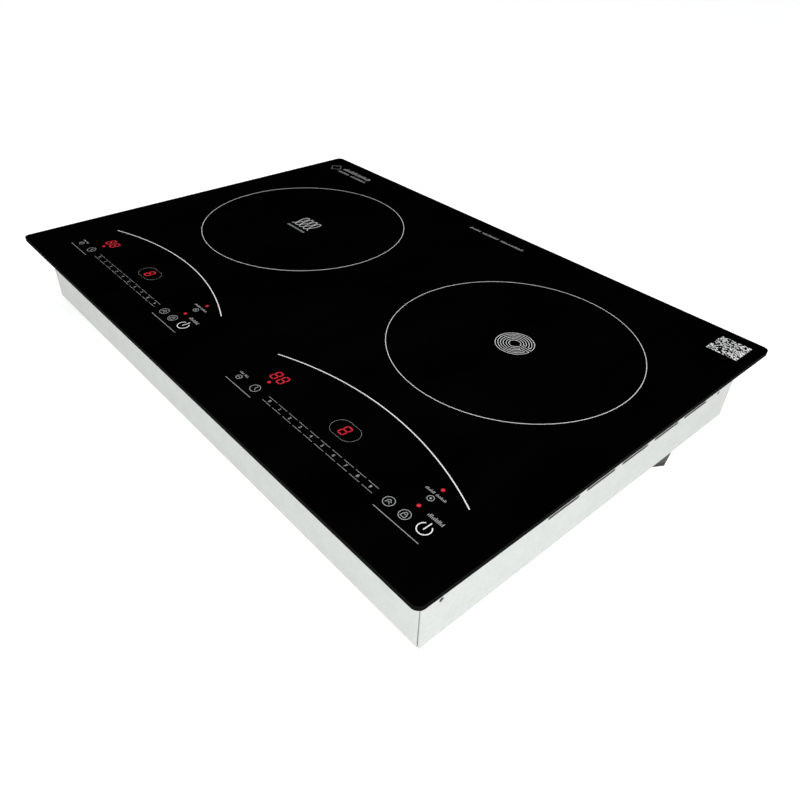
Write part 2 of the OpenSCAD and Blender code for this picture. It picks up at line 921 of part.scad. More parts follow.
// Four-pole stators pressed over the bearing tubes
module fan_stators() {
    color(copper) for (pos = [fan_left_pos, fan_right_pos]) at_fan(pos, 5) difference() {
        union() {
            cylinder(r = 8, h = 9);
            for (a = [0, 90]) rotate(a) block([-11, -2.5, 1], [11, 2.5, 8]);
            intersection() {
                ring(13, 10.5, 9);
                for (a = [0, 90]) rotate(a) block([-14, -6, 0], [14, 6, 9]);
            }
        }
        translate([0, 0, -1]) cylinder(r = 5.05, h = 11);
    }
}

module fan_screws() {
    color(alloy) for (pos = [fan_left_pos, fan_right_pos]) {
        fan_holes(pos, 3.6, floor_z - 2, 2);
        fan_holes(pos, 1.9, floor_z - 0.1, 16);
    }
}

// ---------- Controls ----------

// Shallow tray on four legs, with ledges that the control board sits on
module control_carrier(x) {
    leg_x = carrier_w / 2 - 4;
    leg_y = carrier_d / 2 - 4;
    tray_h = 12;
    translate([x, panel_y, carrier_z]) difference() {
        union() {
            difference() {
                rounded_plate(carrier_w, carrier_d, 4, tray_h);
                translate([0, 0, carrier_wall])
                    rounded_plate(carrier_w - 2 * carrier_wall, carrier_d - 2 * carrier_wall,
                        3, tray_h);
            }
            for (sx = [-1, 0, 1], sy = [-1, 1])
                translate([sx * 105, sy * 22, 1]) cylinder(r = 3, h = control_board_z - carrier_z - 1);
            for (sx = [-1, 1], sy = [-1, 1])
                translate([sx * leg_x, sy * leg_y, floor_top - carrier_z])
                    cylinder(r = 3.5, h = carrier_z - floor_top + 1);
        }
        for (dx = [-70, -25, 25, 70])
            translate([dx, 0, -1]) slot(30, 12, 4);
    }
}

module control_carriers() {
    color([0.85, 0.85, 0.83]) {
        control_carrier(panel_left_x);
        control_carrier(panel_right_x);
    }
}

module control_boards() {
    color(pcb_green) for (x = [panel_left_x, panel_right_x])
        translate([x, panel_y, control_board_z]) rounded_plate(232, 58, 2, board_t);
}

// Places of the touch keys on one panel, from the panel's middle
function key_spots() = concat(
    [[-102, -16.5], [-82, -16.5], [72.5, -16.5], [87.5, -16.5], [103.7, -15], [87.5, 5.8]],
    [for (i = [0 : slider_keys - 1]) [-61.5 + i * slider_pitch, -17.2]]
);

// Conductive pads that carry each touch key from the board to the glass
module touch_pads() {
    color(dark_grey) for (x = [panel_left_x, panel_right_x], k = key_spots())
        translate([x + k[0], panel_y + k[1], control_board_top])
            cylinder(r = 4.5, h = seal_t - control_board_top);
}

// Light boxes of the seven-segment displays: two digits for time, one for power
module display_modules() {
    color(white) for (x = [panel_left_x, panel_right_x])
        translate([x, panel_y, control_board_top]) {
            block([-95, -6, 0], [-66, 15, 8]);
            block([-9, -7, 0], [9, 17, 8]);
        }
}

// ---------- Internal wiring ----------

// Line and neutral from the terminals to each board, and earth to its screw
module mains_leads() {
    pole_l = terminal_low[0];
    pole_r = terminal_low[0] + terminal_size[0];
    routes = [
        [[pole_l + 6, line_y, pole_z], [240, line_y, pole_z], [228, 173, -51], [200, 177.5, -51],
            [120, 177.5, -51], [30, 177.5, -51], [-60, 177.5, -51], [-100, 170, -50],
            [-136, 150, -47], [-154, 135, plug_mid], [-154, 124, plug_mid]],
        [[pole_l + 6, neutral_y, pole_z], [240, neutral_y, pole_z], [230, 146, -50],
            [214, 162, -50], [196, 171, -50], [180, 172.5, -50], [120, 172.5, -50],
            [30, 172.5, -50], [-60, 172.5, -50], [-92, 164, -48], [-124, 146, -46],
            [-146, 134, plug_mid], [-146, 124, plug_mid]],
        [[pole_r - 6, line_y, pole_z], [276, line_y, pole_z], [281, 155, -50], [281, 130, -46],
            [281, 100, -42], [281, 20, -40], [278, -40, -38], [262, -70, -31], [230, -79, -30],
            [180, -80, -30], [120, -84, -34], [100, -90, -40], [95, -94, plug_mid],
            [95, -100, plug_mid]],
        [[pole_r - 6, neutral_y, pole_z], [273.5, neutral_y, pole_z], [276, 128, -48],
            [276, 110, -44], [276, 90, -40], [276, 20, -38], [272, -36, -36], [256, -64, -31],
            [226, -74, -30], [180, -75, -30], [126, -79, -34], [109, -88, -40],
            [103, -94, plug_mid], [103, -100, plug_mid]],
        [[pole_l + 6, earth_y, pole_z], [241, earth_y, pole_z], [241, 156, -55],
            [242, 160, -57.2], [earth_pos[0] + earth_tag, earth_pos[1], -57.3]]
    ];
    color([0.35, 0.25, 0.2]) for (route = routes) wire(route, 1.3);
}

// Flat ribbons from the rear edge of each control board to the board below
module ribbon(x, end_y, end_z) {
    t = 0.8;
    rear = panel_y + 28;
    back = panel_y + carrier_d / 2 + 4;
    high = carrier_z + 14;
    translate([x - 5, 0, 0]) rotate([90, 0, 90]) linear_extrude(10) {
        translate([rear - 4, control_board_top]) square([t, high - control_board_top]);
        translate([rear - 4, high - t]) square([back - rear + 4, t]);
        translate([back - t, end_z]) square([t, high - end_z]);
        translate([min(back - t, end_y), end_z]) square([abs(end_y - back) + t, t]);
    }
}

module control_ribbons() {
    color([0.7, 0.7, 0.72]) {
        ribbon(-121, -57, plug_top);
        ribbon(99, -107, plug_top);
    }
}

// ---------- Assembly ----------

glass_panel();
glass_adhesive();
rim_seal();
base_pan();
side_panel_left();
side_panel_right();
case_screws();
partition_plate();
gland_body();
gland_cap();
gland_seal();
gland_locknut();
terminal_block();
earth_screw();
coil_tray();
coil_carrier();
ferrite_bars();
coil_winding();
coil_insulation();
coil_sensor();
coil_posts();
coil_springs();
coil_leads();
induction_board();
board_standoffs();
heat_sink();
power_transistors();
bridge_rectifier();
film_capacitors();
electrolytic_capacitors();
filter_choke();
supply_transformers();
line_fuse();
wire_connectors();
radiant_dish();
insulation_base();
insulation_ring();
heating_ribbon();
limiter_rod();
limiter_switch();
element_terminal();
dish_bracket();
dish_springs();
element_leads();
radiant_board();
power_relays();
fan_frames();
fan_rotor_left();
fan_rotor_right();
fan_shaft_left();
fan_shaft_right();
fan_bearings();
fan_stators();
fan_screws();
control_carriers();
control_boards();
touch_pads();
display_modules();
mains_leads();
control_ribbons();
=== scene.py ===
"""The looks of a built-in two-zone electric hob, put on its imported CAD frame.

Lengths are in metres, apart from the prints on the glass, which are drawn in millimetres from the
middle of their zone or panel. +X is to the user's right, +Y to the back and +Z up.
"""

import json
import math
import random

import bmesh
import bpy
from mathutils import Matrix, Vector

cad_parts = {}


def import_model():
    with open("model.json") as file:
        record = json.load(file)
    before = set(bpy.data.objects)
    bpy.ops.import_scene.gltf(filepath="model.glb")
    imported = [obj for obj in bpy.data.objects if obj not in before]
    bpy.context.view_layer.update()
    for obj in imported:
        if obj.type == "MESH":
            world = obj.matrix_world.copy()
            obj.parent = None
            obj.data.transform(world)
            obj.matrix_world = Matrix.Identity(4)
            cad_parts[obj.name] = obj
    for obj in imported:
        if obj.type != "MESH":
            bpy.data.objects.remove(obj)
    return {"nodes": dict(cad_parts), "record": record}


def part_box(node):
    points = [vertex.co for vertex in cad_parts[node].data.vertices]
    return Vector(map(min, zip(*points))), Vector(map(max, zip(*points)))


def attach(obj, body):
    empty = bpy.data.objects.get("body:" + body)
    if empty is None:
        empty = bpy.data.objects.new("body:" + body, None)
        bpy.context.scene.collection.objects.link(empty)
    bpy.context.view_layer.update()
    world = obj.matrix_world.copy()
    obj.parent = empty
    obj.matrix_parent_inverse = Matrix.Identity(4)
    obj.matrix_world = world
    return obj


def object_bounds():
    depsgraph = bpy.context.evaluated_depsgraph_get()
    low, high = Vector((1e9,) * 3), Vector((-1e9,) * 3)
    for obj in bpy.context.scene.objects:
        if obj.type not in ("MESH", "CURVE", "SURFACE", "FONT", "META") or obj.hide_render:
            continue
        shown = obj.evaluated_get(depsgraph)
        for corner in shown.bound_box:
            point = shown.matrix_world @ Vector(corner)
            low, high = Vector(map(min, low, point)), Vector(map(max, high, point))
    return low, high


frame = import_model()
cad_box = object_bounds()

MM = 0.001

# ---------- Camera, floor and light ----------

CAMERA_PLACE = Vector((0.4619, -0.3791, 0.3280))
CAMERA_HEADING = 46.78  # degrees from +Y towards -X
CAMERA_DIP = 37.27  # degrees below the horizon
CAMERA_ROLL = 2.63
CAMERA_LENS = 31.95  # on a sensor 36 wide
CAMERA_REACH = (0.01, 100.0)  # the nearest and farthest that it sees

FLOOR_HALF = 15.0
FLOOR_GLOW = 0.46  # the floor is a lit table, which keeps its shadows faint
LAMP_PLACE = Vector((1.15, -1.25, 1.0))  # it aims at the middle of the glass
LAMP_SIDE = 1.0
LAMP_POWER = 29.0  # watts
SIDE_AIM = (0.0, 50.0, 12.0)  # degrees that it is turned about X, Y and Z, from straight down
SIDE_STRENGTH = 1.15
SIDE_SOFTNESS = 40.0  # degrees across
OVERHEAD_STRENGTH = 1.6
OVERHEAD_FROM = 0.93  # heights in the sky are sines of the angle above the horizon
HORIZON_STRENGTH = 0.1
HORIZON_TO = 0.1
DARK_BAND = (0.26, 0.84)
BACKDROP = (0.93, 0.94, 0.94)

# ---------- Prints on the glass, in millimetres ----------

PRINT_RISE = 0.04  # how far the enamel stands above the glass
PRINT_SINK = 0.02  # how far it is let into it, so that no two faces coincide

# Widths of line
RING_WIDTH = 0.5
SYMBOL_WIDTH = 0.65
TRACK_WIDTH = 0.48
ARC_WIDTH = 0.9
POWER_WIDTH = 0.78
THIN = 0.48
DETAIL = 0.5
FINE = 0.3
FRAME_WIDTH = 0.16

# On the zones
RING_RADIUS = 109.2
COIL_TURNS = 4
COIL_PITCH = 7.1
COIL_HALF_HIGH = 10.2
COIL_SWING = 4.0  # how far each turn swings to either side
COIL_TOP_SWING = 1.0  # how much more near its top
COIL_SHIFT = (0.3, 3.9)
TRACK_LOOPS = ((16.7, 5.1, 1.3), (14.4, 12.1, 3.6), (9.8, 7.4, 3.6))  # outer, inner and gap
TRACKS_SHIFT = (1.0, -0.4)
ZONE_WORD_SHIFT = (1.7, -12.0)

# On each panel, from its middle
PANEL_ABOVE_DISPLAYS = 7.0
PANEL_FROM_DISPLAYS = (95.0, -9.0)  # left panel from their left end, right panel from their right
ARC_CENTRE = (-5.5, -229.5)
ARC_RADIUS = 273.0
ARC_ENDS = (112.4, 65.0)  # degrees
BASE_LINES = ((-109.3, -74.3, -25.8), (68.2, 110.2, -26.0))  # start, end and height up the panel
SLIDER_STEPS = 10
SLIDER_PITCH = 12.92
SLIDER_START = -66.7
DASH_LENGTH = 10.4
DASH_ROWS = (-14.1, -20.0)
NUMBER_HEIGHT = 2.6
NUMBER_BOLD = 0.04
NUMBER_Y = -17.1
FIGURE_SHARE = 0.7  # a figure's height, of the font's size
FRAME_CENTRE = (0.5, 5.4)
FRAME_RADIUS = 8.5
FRAME_REACH = 4.7
DIGIT_SIZE = (6.4, 10.6)
DIGIT_BAR = 1.1
DIGIT_GAP = 0.25
DIGIT_SLANT = 0.09
TIMER_DIGITS = ((-85.8, 5.3), (-77.0, 5.3))
LEVEL_DIGIT = (0.4, 5.2)
DOT_RADIUS = 1.5
DOTS = ((-81.9, -4.1), (87.3, -4.3), (87.3, 17.0))
KEY_RADIUS = 4.15
SMALL_KEY_RADIUS = 2.4
POWER_CENTRE = (103.7, -15.0)
POWER_RADIUS = 5.0
POWER_ENDS = (128.0, 412.0)  # degrees
POWER_BAR = (-0.7, 6.2)
LOCK_CENTRE = (87.4, -16.4)
LOCK_WIDTH = 0.45
BOOST_CENTRE = (72.5, -16.4)
CLOCK_CENTRE = (-82.0, -16.6)
PRESET_CENTRE = (-102.3, -18.2)
WARM_CENTRE = (87.4, 5.8)
WARM_DOT = 0.8
KEY_WORDS = (  # lengths of the words, their height, and the middle of the line they stand on
    ((4.6, 4.4), 1.9, -102.4, -14.2),
    ((13.4,), 3.0, 103.1, -5.9),
    ((8.0, 9.2), 2.2, 87.2, 9.9),
)

# Along the back
REAR_WORDS_X = 3.0
REAR_WORDS_INSET = 22.7
CORNER_MARK_INSET = (64.5, 27.0)  # from the left edge and the back edge
DIAMOND_CENTRE = (-38.0, 0.0)
DIAMOND_RADIUS = 8.0
CODE_INSET = (24.1, 26.4)  # from the right edge and the back edge
CODE_SIDE = 27.9
CODE_CELLS = 27
CODE_GAP = 0.15  # of a cell
CODE_SHARE = 0.45  # of the cells are printed
CODE_SEED = 7

# Words
WORD_SEED = 3
WORD_GAP = 1.6
WIDE_GAP = 3.0
TICK_PITCH = 0.42  # of the height of a word
TICK_WIDTH = 0.2  # of the height of a word
TICK_HEIGHTS = (0.6, 0.75, 1.0)


def srgb(red, green, blue):
    """A colour given as on a screen, from 0 to 255, as the linear colour that shaders take."""
    parts = [c / 255 for c in (red, green, blue)]
    return [c / 12.92 if c < 0.04 else ((c + 0.055) / 1.055) ** 2.4 for c in parts]


# ---------- Node materials ----------

GLAND_SHADE_BAND = (4.4, 4.6)  # millimetres above the nut's low end, where the painted shade round its low end gives way to grey


class Look:
    """A node material. Its textures use the object's coordinates, so they move with the piece."""

    def __init__(self, name, **sockets):
        self.material = bpy.data.materials.new(name)
        self.material.use_nodes = True
        self.tree = self.material.node_tree
        self.shader = self.tree.nodes["Principled BSDF"]
        self.place = self.tree.nodes.new("ShaderNodeTexCoord")
        for socket, value in sockets.items():
            self.shader.inputs[socket.replace("_", " ")].default_value = value

    def node(self, kind, inputs, **settings):
        """A node with those inputs, each a number or another node's output."""
        made = self.tree.nodes.new("ShaderNode" + kind)
        for name, value in settings.items():
            setattr(made, name, value)
        for name, value in inputs.items():
            if isinstance(value, bpy.types.NodeSocket):
                self.tree.links.new(value, made.inputs[name])
            else:
                made.inputs[name].default_value = value
        return made

    def coords(self, stretch=(1, 1, 1)):
        """Object coordinates, with features drawn out by stretch along each axis."""
        inputs = {"Vector": self.place.outputs["Object"], "Scale": [1 / s for s in stretch]}
        return self.node("Mapping", inputs).outputs["Vector"]

    def noise(self, size, stretch=(1, 1, 1), detail=3.0):
        """Cloudy noise from 0 to 1, whose blobs are about size across."""
        inputs = {"Vector": self.coords(stretch), "Scale": 1 / size, "Detail": detail}
        return self.node("TexNoise", inputs).outputs["Fac"]

    def cells(self, size, stretch=(1, 1, 1)):
        """A random number for each crystal-like cell about size across."""
        inputs = {"Vector": self.coords(stretch), "Scale": 1 / size}
        colour = self.node("TexVoronoi", inputs).outputs["Color"]
        return self.node("SeparateColor", {"Color": colour}).outputs["Red"]

    def lines(self, pitch, axis, wobble=0.0):
        """Parallel ridges across an axis, from 0 to 1."""
        inputs = {"Vector": self.coords(), "Scale": 0.314 / pitch, "Distortion": wobble}
        return self.node("TexWave", inputs, bands_direction=axis).outputs["Fac"]

    def between(self, amount, low, high, start=0.25, end=0.75):
        """A number that goes from low to high as amount goes from start to end."""
        ends = {"From Min": start, "From Max": end, "To Min": low, "To Max": high}
        return self.node("MapRange", {"Value": amount, **ends}).outputs["Result"]

    def tint(self, amount, low, high, start=0.3, end=0.7):
        """A colour that goes from low to high as amount goes from start to end."""
        ramp = self.node("ValToRGB", {"Fac": amount})
        for stop, place, colour in zip(ramp.color_ramp.elements, (start, end), (low, high)):
            stop.position = place
            stop.color = (*colour, 1)
        return ramp.outputs["Color"]

    def mix(self, amount, low, high):
        """A colour that is low where amount is 0 and high where it is 1."""
        node = self.node("Mix", {"Factor": amount, "A": low, "B": high}, data_type="RGBA")
        return next(output for output in node.outputs if output.type == "RGBA")

    def maths(self, operation, first, second):
        """The result of that operation on two numbers."""
        return self.node("Math", {0: first, 1: second}, operation=operation).outputs["Value"]

    def blend(self, first, share, second, other_share):
        """The sum of two numbers, each times its share."""
        parts = (self.maths("MULTIPLY", *part) for part in ((first, share), (second, other_share)))
        return self.maths("ADD", *parts)

    def edge(self):
        """1 on faces that stand upright, 0 on level ones."""
        normal = self.node("SeparateXYZ", {"Vector": self.place.outputs["Normal"]})
        level = self.maths("ABSOLUTE", normal.outputs["Z"], 0.0)
        return self.between(level, 1.0, 0.0, 0.55, 0.95)

    def wear(self, colour, roughness, height, depth):
        """Links the colour, the roughness and the relief, depth metres deep, to the shader."""
        self.tree.links.new(colour, self.shader.inputs["Base Color"])
        self.tree.links.new(roughness, self.shader.inputs["Roughness"])
        bump = self.node("Bump", {"Height": height, "Distance": depth})
        self.tree.links.new(bump.outputs["Normal"], self.shader.inputs["Normal"])
        return self.material


def black_glass(slot):
    """Polished black ceramic glass with faint wipe marks, ground matt round its edge."""
    look = Look(slot, Specular_IOR_Level=0.03)
    edge = look.edge()
    smears = look.noise(0.06, (1, 2.5, 1), 4.0)
    polished = look.between(smears, 0.02, 0.07)
    roughness = look.maths("ADD", polished, look.maths("MULTIPLY", edge, 0.85))
    face = look.tint(smears, srgb(1, 1, 2), srgb(3, 3, 4))
    colour = look.mix(edge, face, (*srgb(9, 9, 10), 1))
    grinding = look.maths("MULTIPLY", look.noise(0.0006), edge)
    return look.wear(colour, roughness, grinding, 0.00004)


def galvanised_steel(slot):
    """Zinc-coated sheet: dull crystals a few millimetres across under a fine grain."""
    look = Look(slot, Metallic=0.72)
    crystals = look.cells(0.0022)
    clouds = look.noise(0.014, detail=5.0)
    mottle = look.blend(crystals, 0.4, clouds, 0.6)
    colour = look.tint(mottle, srgb(184, 188, 185), srgb(197, 200, 197), 0.2, 0.8)
    roughness = look.between(crystals, 0.4, 0.5, 0.0, 1.0)
    return look.wear(colour, roughness, look.noise(0.0008, detail=4.0), 0.00003)


def rolled_metal(slot, dark, light, roughness):
    """Plain sheet or extrusion with the fine lines that rolling leaves along X."""
    look = Look(slot, Metallic=1.0)
    streaks = look.noise(0.0006, (60, 1, 1), 4.0)
    colour = look.tint(look.noise(0.025, detail=5.0), srgb(*dark), srgb(*light))
    brushed = look.between(streaks, roughness - 0.07, roughness + 0.09)
    return look.wear(colour, brushed, streaks, 0.00002)


def plated_metal(slot, dark, light, roughness):
    """Small turned or bent metal parts with a thin bright plating, duller in patches."""
    look = Look(slot, Metallic=1.0)
    patches = look.noise(0.004, detail=5.0)
    colour = look.tint(patches, srgb(*dark), srgb(*light))
    dulled = look.between(patches, roughness + 0.12, roughness - 0.06)
    return look.wear(colour, dulled, look.noise(0.0004), 0.00001)


def moulded(slot, dark, light, roughness, grain=0.0006):
    """Moulded plastic or resin: a fine eroded texture, with flow marks that shift the shade."""
    look = Look(slot, IOR=1.5)
    flow = look.noise(0.02, (1, 1, 2), 4.0)
    texture = look.noise(grain, detail=2.0)
    colour = look.tint(flow, srgb(*dark), srgb(*light))
    eroded = look.between(texture, roughness - 0.08, roughness + 0.1)
    return look.wear(colour, eroded, texture, 0.00005)


def porous(slot, dark, light, pore, depth, roughness=0.85):
    """Ceramic, fibre board, foam or rubber: a matt body with pores of that size."""
    look = Look(slot, IOR=1.45)
    pores = look.noise(pore, detail=5.0)
    shade = look.blend(pores, 0.6, look.noise(0.02), 0.4)
    colour = look.tint(shade, srgb(*dark), srgb(*light))
    return look.wear(colour, look.between(pores, roughness + 0.08, roughness - 0.1), pores, depth)


def mica_sheet(slot):
    """Pressed mica: overlapping flakes with a pearly gloss."""
    look = Look(slot, Coat_Weight=0.35, Coat_Roughness=0.3)
    flakes = look.cells(0.003, (1.6, 1, 1))
    colour = look.tint(flakes, srgb(196, 184, 150), srgb(226, 218, 194), 0.0, 1.0)
    return look.wear(colour, look.between(flakes, 0.35, 0.6, 0.0, 1.0), flakes, 0.00003)


def stranded_copper(slot):
    """Varnished strands laid side by side along the winding."""
    look = Look(slot, Metallic=1.0, Coat_Weight=0.5, Coat_Roughness=0.2)
    strands = look.noise(0.0003, (1, 1, 1), 2.0)
    colour = look.tint(look.noise(0.004), srgb(168, 92, 48), srgb(214, 132, 78))
    return look.wear(colour, look.between(strands, 0.28, 0.5), strands, 0.00012)


def heated_ribbon(slot):
    """Resistance ribbon with the brown and blue-grey oxide of use."""
    look = Look(slot, Metallic=0.85)
    oxide = look.noise(0.006, detail=5.0)
    colour = look.tint(oxide, srgb(96, 78, 66), srgb(150, 138, 132))
    return look.wear(colour, look.between(oxide, 0.6, 0.4), look.noise(0.0005), 0.00002)


def gland_nut(slot):
    """The gland's moulded nut: dark grey, with black painted shade round its low end, where it
    stands on the floor.
    """
    look = Look(slot, IOR=1.5)
    height = look.node("SeparateXYZ", {"Vector": look.place.outputs["Object"]}).outputs["Z"]
    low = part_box("gland_cap")[0].z
    above = look.between(height, 0.0, 1.0, *(low + shade_edge * MM for shade_edge in GLAND_SHADE_BAND))
    texture = look.noise(0.0005, detail=2.0)
    flow = look.tint(look.noise(0.01), srgb(40, 42, 41), srgb(52, 54, 53))
    # Black below the band is painted shade at the nut's low end, where it stands on the floor
    colour = look.mix(above, (*srgb(6, 6, 6), 1), flow)
    return look.wear(colour, look.between(texture, 0.4, 0.55), texture, 0.00005)


def quartz(slot):
    """Clear drawn tube with faint lines along it."""
    look = Look(slot, Transmission_Weight=0.9, IOR=1.46)
    draw = look.noise(0.0006, (1, 40, 1))
    colour = look.tint(draw, srgb(225, 232, 235), srgb(244, 247, 248))
    return look.wear(colour, look.between(draw, 0.03, 0.1), draw, 0.00001)


def circuit_board(slot):
    """Green solder mask over copper tracks, glossy, with a darker ground between them."""
    look = Look(slot, Coat_Weight=0.3, Coat_Roughness=0.25)
    inputs = {"Vector": look.coords((1.7, 1, 1)), "Scale": 1 / 0.004}
    tracks = look.node("TexVoronoi", inputs, feature="DISTANCE_TO_EDGE").outputs["Distance"]
    raised = look.between(tracks, 1.0, 0.0, 0.05, 0.09)
    colour = look.tint(raised, srgb(14, 66, 38), srgb(30, 104, 58), 0.2, 0.8)
    return look.wear(colour, look.between(look.noise(0.002), 0.3, 0.45), raised, 0.00004)


def braided_sleeve(slot):
    """Woven glass sleeve: two sets of threads that cross."""
    look = Look(slot, Sheen_Weight=0.3)
    threads = (look.lines(0.0009, axis, 0.4) for axis in ("X", "DIAGONAL"))
    weave = look.maths("MULTIPLY", *threads)
    colour = look.tint(weave, srgb(184, 180, 166), srgb(226, 223, 212), 0.1, 0.8)
    return look.wear(colour, look.between(weave, 0.9, 0.7), weave, 0.0001)


def ribbon_cable(slot):
    """Flat cable of thin grey wires side by side."""
    look = Look(slot, IOR=1.5)
    wires = look.lines(0.00127, "X")
    colour = look.tint(wires, srgb(112, 114, 118), srgb(176, 178, 182), 0.1, 0.7)
    return look.wear(colour, look.between(look.noise(0.004), 0.4, 0.55), wires, 0.00015)


def enamel(name, dark, light):
    """Fired enamel print: dense, a little uneven where the screen laid it thin."""
    look = Look(name, IOR=1.5)
    screen = look.noise(0.0004, detail=2.0)
    cover = look.noise(0.01, detail=4.0)
    colour = look.tint(cover, srgb(*dark), srgb(*light))
    return look.wear(colour, look.between(screen, 0.45, 0.6), screen, 0.00001)


def red_light(slot):
    """Lit display segments and dots seen through the glass, with a faintly uneven glow."""
    look = Look(slot, Base_Color=(*srgb(20, 2, 3), 1), Emission_Strength=1.0)
    glow = look.noise(0.0015, detail=2.0)
    colour = look.tint(glow, srgb(192, 32, 48), srgb(222, 54, 66))
    look.tree.links.new(colour, look.shader.inputs["Emission Color"])
    roughness = look.between(glow, 0.2, 0.3)
    look.tree.links.new(roughness, look.shader.inputs["Roughness"])
    return look.material


# The look of each material slot in the record: the function that makes it and the values it takes
SLOT_LOOKS = {
    "black_glass": (black_glass,),
    "galvanised_steel": (galvanised_steel,),
    "stamped_steel": (rolled_metal, (170, 172, 172), (202, 203, 203), 0.36),
    "aluminium": (rolled_metal, (186, 188, 190), (216, 218, 219), 0.34),
    "zinc": (plated_metal, (168, 170, 176), (206, 208, 212), 0.28),
    "brass": (plated_metal, (176, 138, 70), (214, 178, 104), 0.3),
    "black_nylon": (moulded, (22, 22, 23), (33, 33, 34), 0.5),
    "grey_nylon": (moulded, (84, 87, 86), (104, 107, 106), 0.5),
    "white_plastic": (moulded, (216, 216, 210), (232, 232, 227), 0.42),
    "epoxy_black": (moulded, (30, 30, 32), (44, 44, 46), 0.55, 0.0003),
    "film_case": (moulded, (190, 150, 36), (212, 172, 56), 0.4),
    "capacitor_sleeve": (moulded, (26, 30, 68), (38, 43, 88), 0.28, 0.001),
    "relay_case": (moulded, (20, 62, 128), (32, 80, 152), 0.3),
    "wire_jacket": (moulded, (88, 48, 28), (112, 66, 42), 0.42),
    "silicone": (porous, (70, 70, 70), (86, 86, 86), 0.0015, 0.0001, 0.6),
    "foam": (porous, (36, 36, 38), (58, 58, 61), 0.0009, 0.0003),
    "conductive_foam": (porous, (26, 26, 28), (44, 44, 47), 0.0008, 0.0003),
    "rubber": (porous, (24, 24, 24), (34, 34, 34), 0.0012, 0.00005, 0.6),
    "white_ceramic": (porous, (214, 210, 200), (232, 229, 221), 0.0006, 0.00004, 0.6),
    "ferrite": (porous, (54, 54, 58), (74, 74, 78), 0.0005, 0.00005, 0.65),
    "fibre_insulation": (porous, (206, 202, 192), (234, 231, 223), 0.0012, 0.0003),
    "mica": (mica_sheet,),
    "copper_litz": (stranded_copper,),
    "ribbon_alloy": (heated_ribbon,),
    "quartz": (quartz,),
    "circuit_board": (circuit_board,),
    "fibreglass_sleeve": (braided_sleeve,),
    "ribbon_cable": (ribbon_cable,),
    "white_print": (enamel, (232, 233, 233), (242, 243, 243)),
    "red_light": (red_light,),
}


def make_looks():
    """One material for each of the record's material slots."""
    return {slot: make(slot, *values) for slot, (make, *values) in SLOT_LOOKS.items()}


def paint_frame(looks):
    """Gives each CAD node the material of its slot in the record, and the gland's nut its own."""
    for row in frame["record"]["subparts"]:
        for holder in frame["nodes"][row["node"]].material_slots:
            holder.material = looks[row["material_slot"]]
    frame["nodes"]["gland_cap"].material_slots[0].material = gland_nut("gland_nut")


def print_looks(looks):
    """The lines, figures and words are printed in a greyer enamel than the bold marks."""
    fine = enamel("fine_print", (153, 154, 154), (168, 169, 169))
    return {"bold": looks["white_print"], "fine": fine, "lit": looks["red_light"]}


# ---------- Flat solids for the prints ----------


def circle(radius, centre=(0, 0), steps=64, start=0.0, end=360.0):
    """Points along an arc, without the last one if it goes all the way round."""
    whole = abs(end - start) >= 360
    count = steps if whole else steps + 1
    angles = [math.radians(start + (end - start) * i / steps) for i in range(count)]
    return [(centre[0] + radius * math.cos(a), centre[1] + radius * math.sin(a)) for a in angles]


def plate(bm, outline):
    """Adds a flat solid with that outline."""
    low, high = ([bm.verts.new((x, y, z)) for x, y in outline] for z in (-PRINT_SINK, PRINT_RISE))
    bm.faces.new(high)
    bm.faces.new(low[::-1])
    for i in range(len(outline)):
        bm.faces.new((low[i - 1], low[i], high[i], high[i - 1]))


def sideways(path, closed):
    """For each point of path, the vector to its left, longer at corners, to keep the width."""
    count = len(path)
    along = []
    for i in range(count if closed else count - 1):
        along.append((path[(i + 1) % count] - path[i]).normalized())
    result = []
    for i in range(count):
        before = along[i - 1] if closed or i > 0 else along[0]
        after = along[i] if i < len(along) else along[-1]
        middle = (before + after).normalized()
        left = Vector((-middle.y, middle.x))
        result.append(left / max(0.5, middle.dot(after)))
    return result


def stroke(bm, points, width, closed=False):
    """Adds a line of that width along the points, as a flat solid. An open line has round ends."""
    path = [Vector(p) for p in points]
    half = width / 2
    rows = [(p, side * half) for p, side in zip(path, sideways(path, closed))]
    if not closed:
        for angle in (60, 30):  # each end narrows in steps to a blunt tip
            reach, share = half * math.cos(math.radians(angle)), math.sin(math.radians(angle))
            tip, tail = (path[0] - path[1]).normalized(), (path[-1] - path[-2]).normalized()
            first, last = sideways(path, False)[0], sideways(path, False)[-1]
            rows.insert(0, (path[0] + tip * reach, first * half * share))
            rows.append((path[-1] + tail * reach, last * half * share))
    loops = []
    for p, side in rows:
        left, right = p + side, p - side
        high = [(*edge, PRINT_RISE) for edge in (left, right)]
        low = [(*edge, -PRINT_SINK) for edge in (right, left)]
        loops.append([bm.verts.new(corner) for corner in high + low])
    pairs = list(zip(loops, loops[1:])) + ([(loops[-1], loops[0])] if closed else [])
    for here, there in pairs:
        for k in range(4):
            bm.faces.new((here[k - 1], here[k], there[k], there[k - 1]))
    if not closed:
        bm.faces.new(loops[0])
        bm.faces.new(loops[-1][::-1])


def dash(bm, start, end, y, width=THIN):
    """Adds a line with square ends from start to end, along X."""
    low, high = y - width / 2, y + width / 2
    plate(bm, [(start, low), (end, low), (end, high), (start, high)])


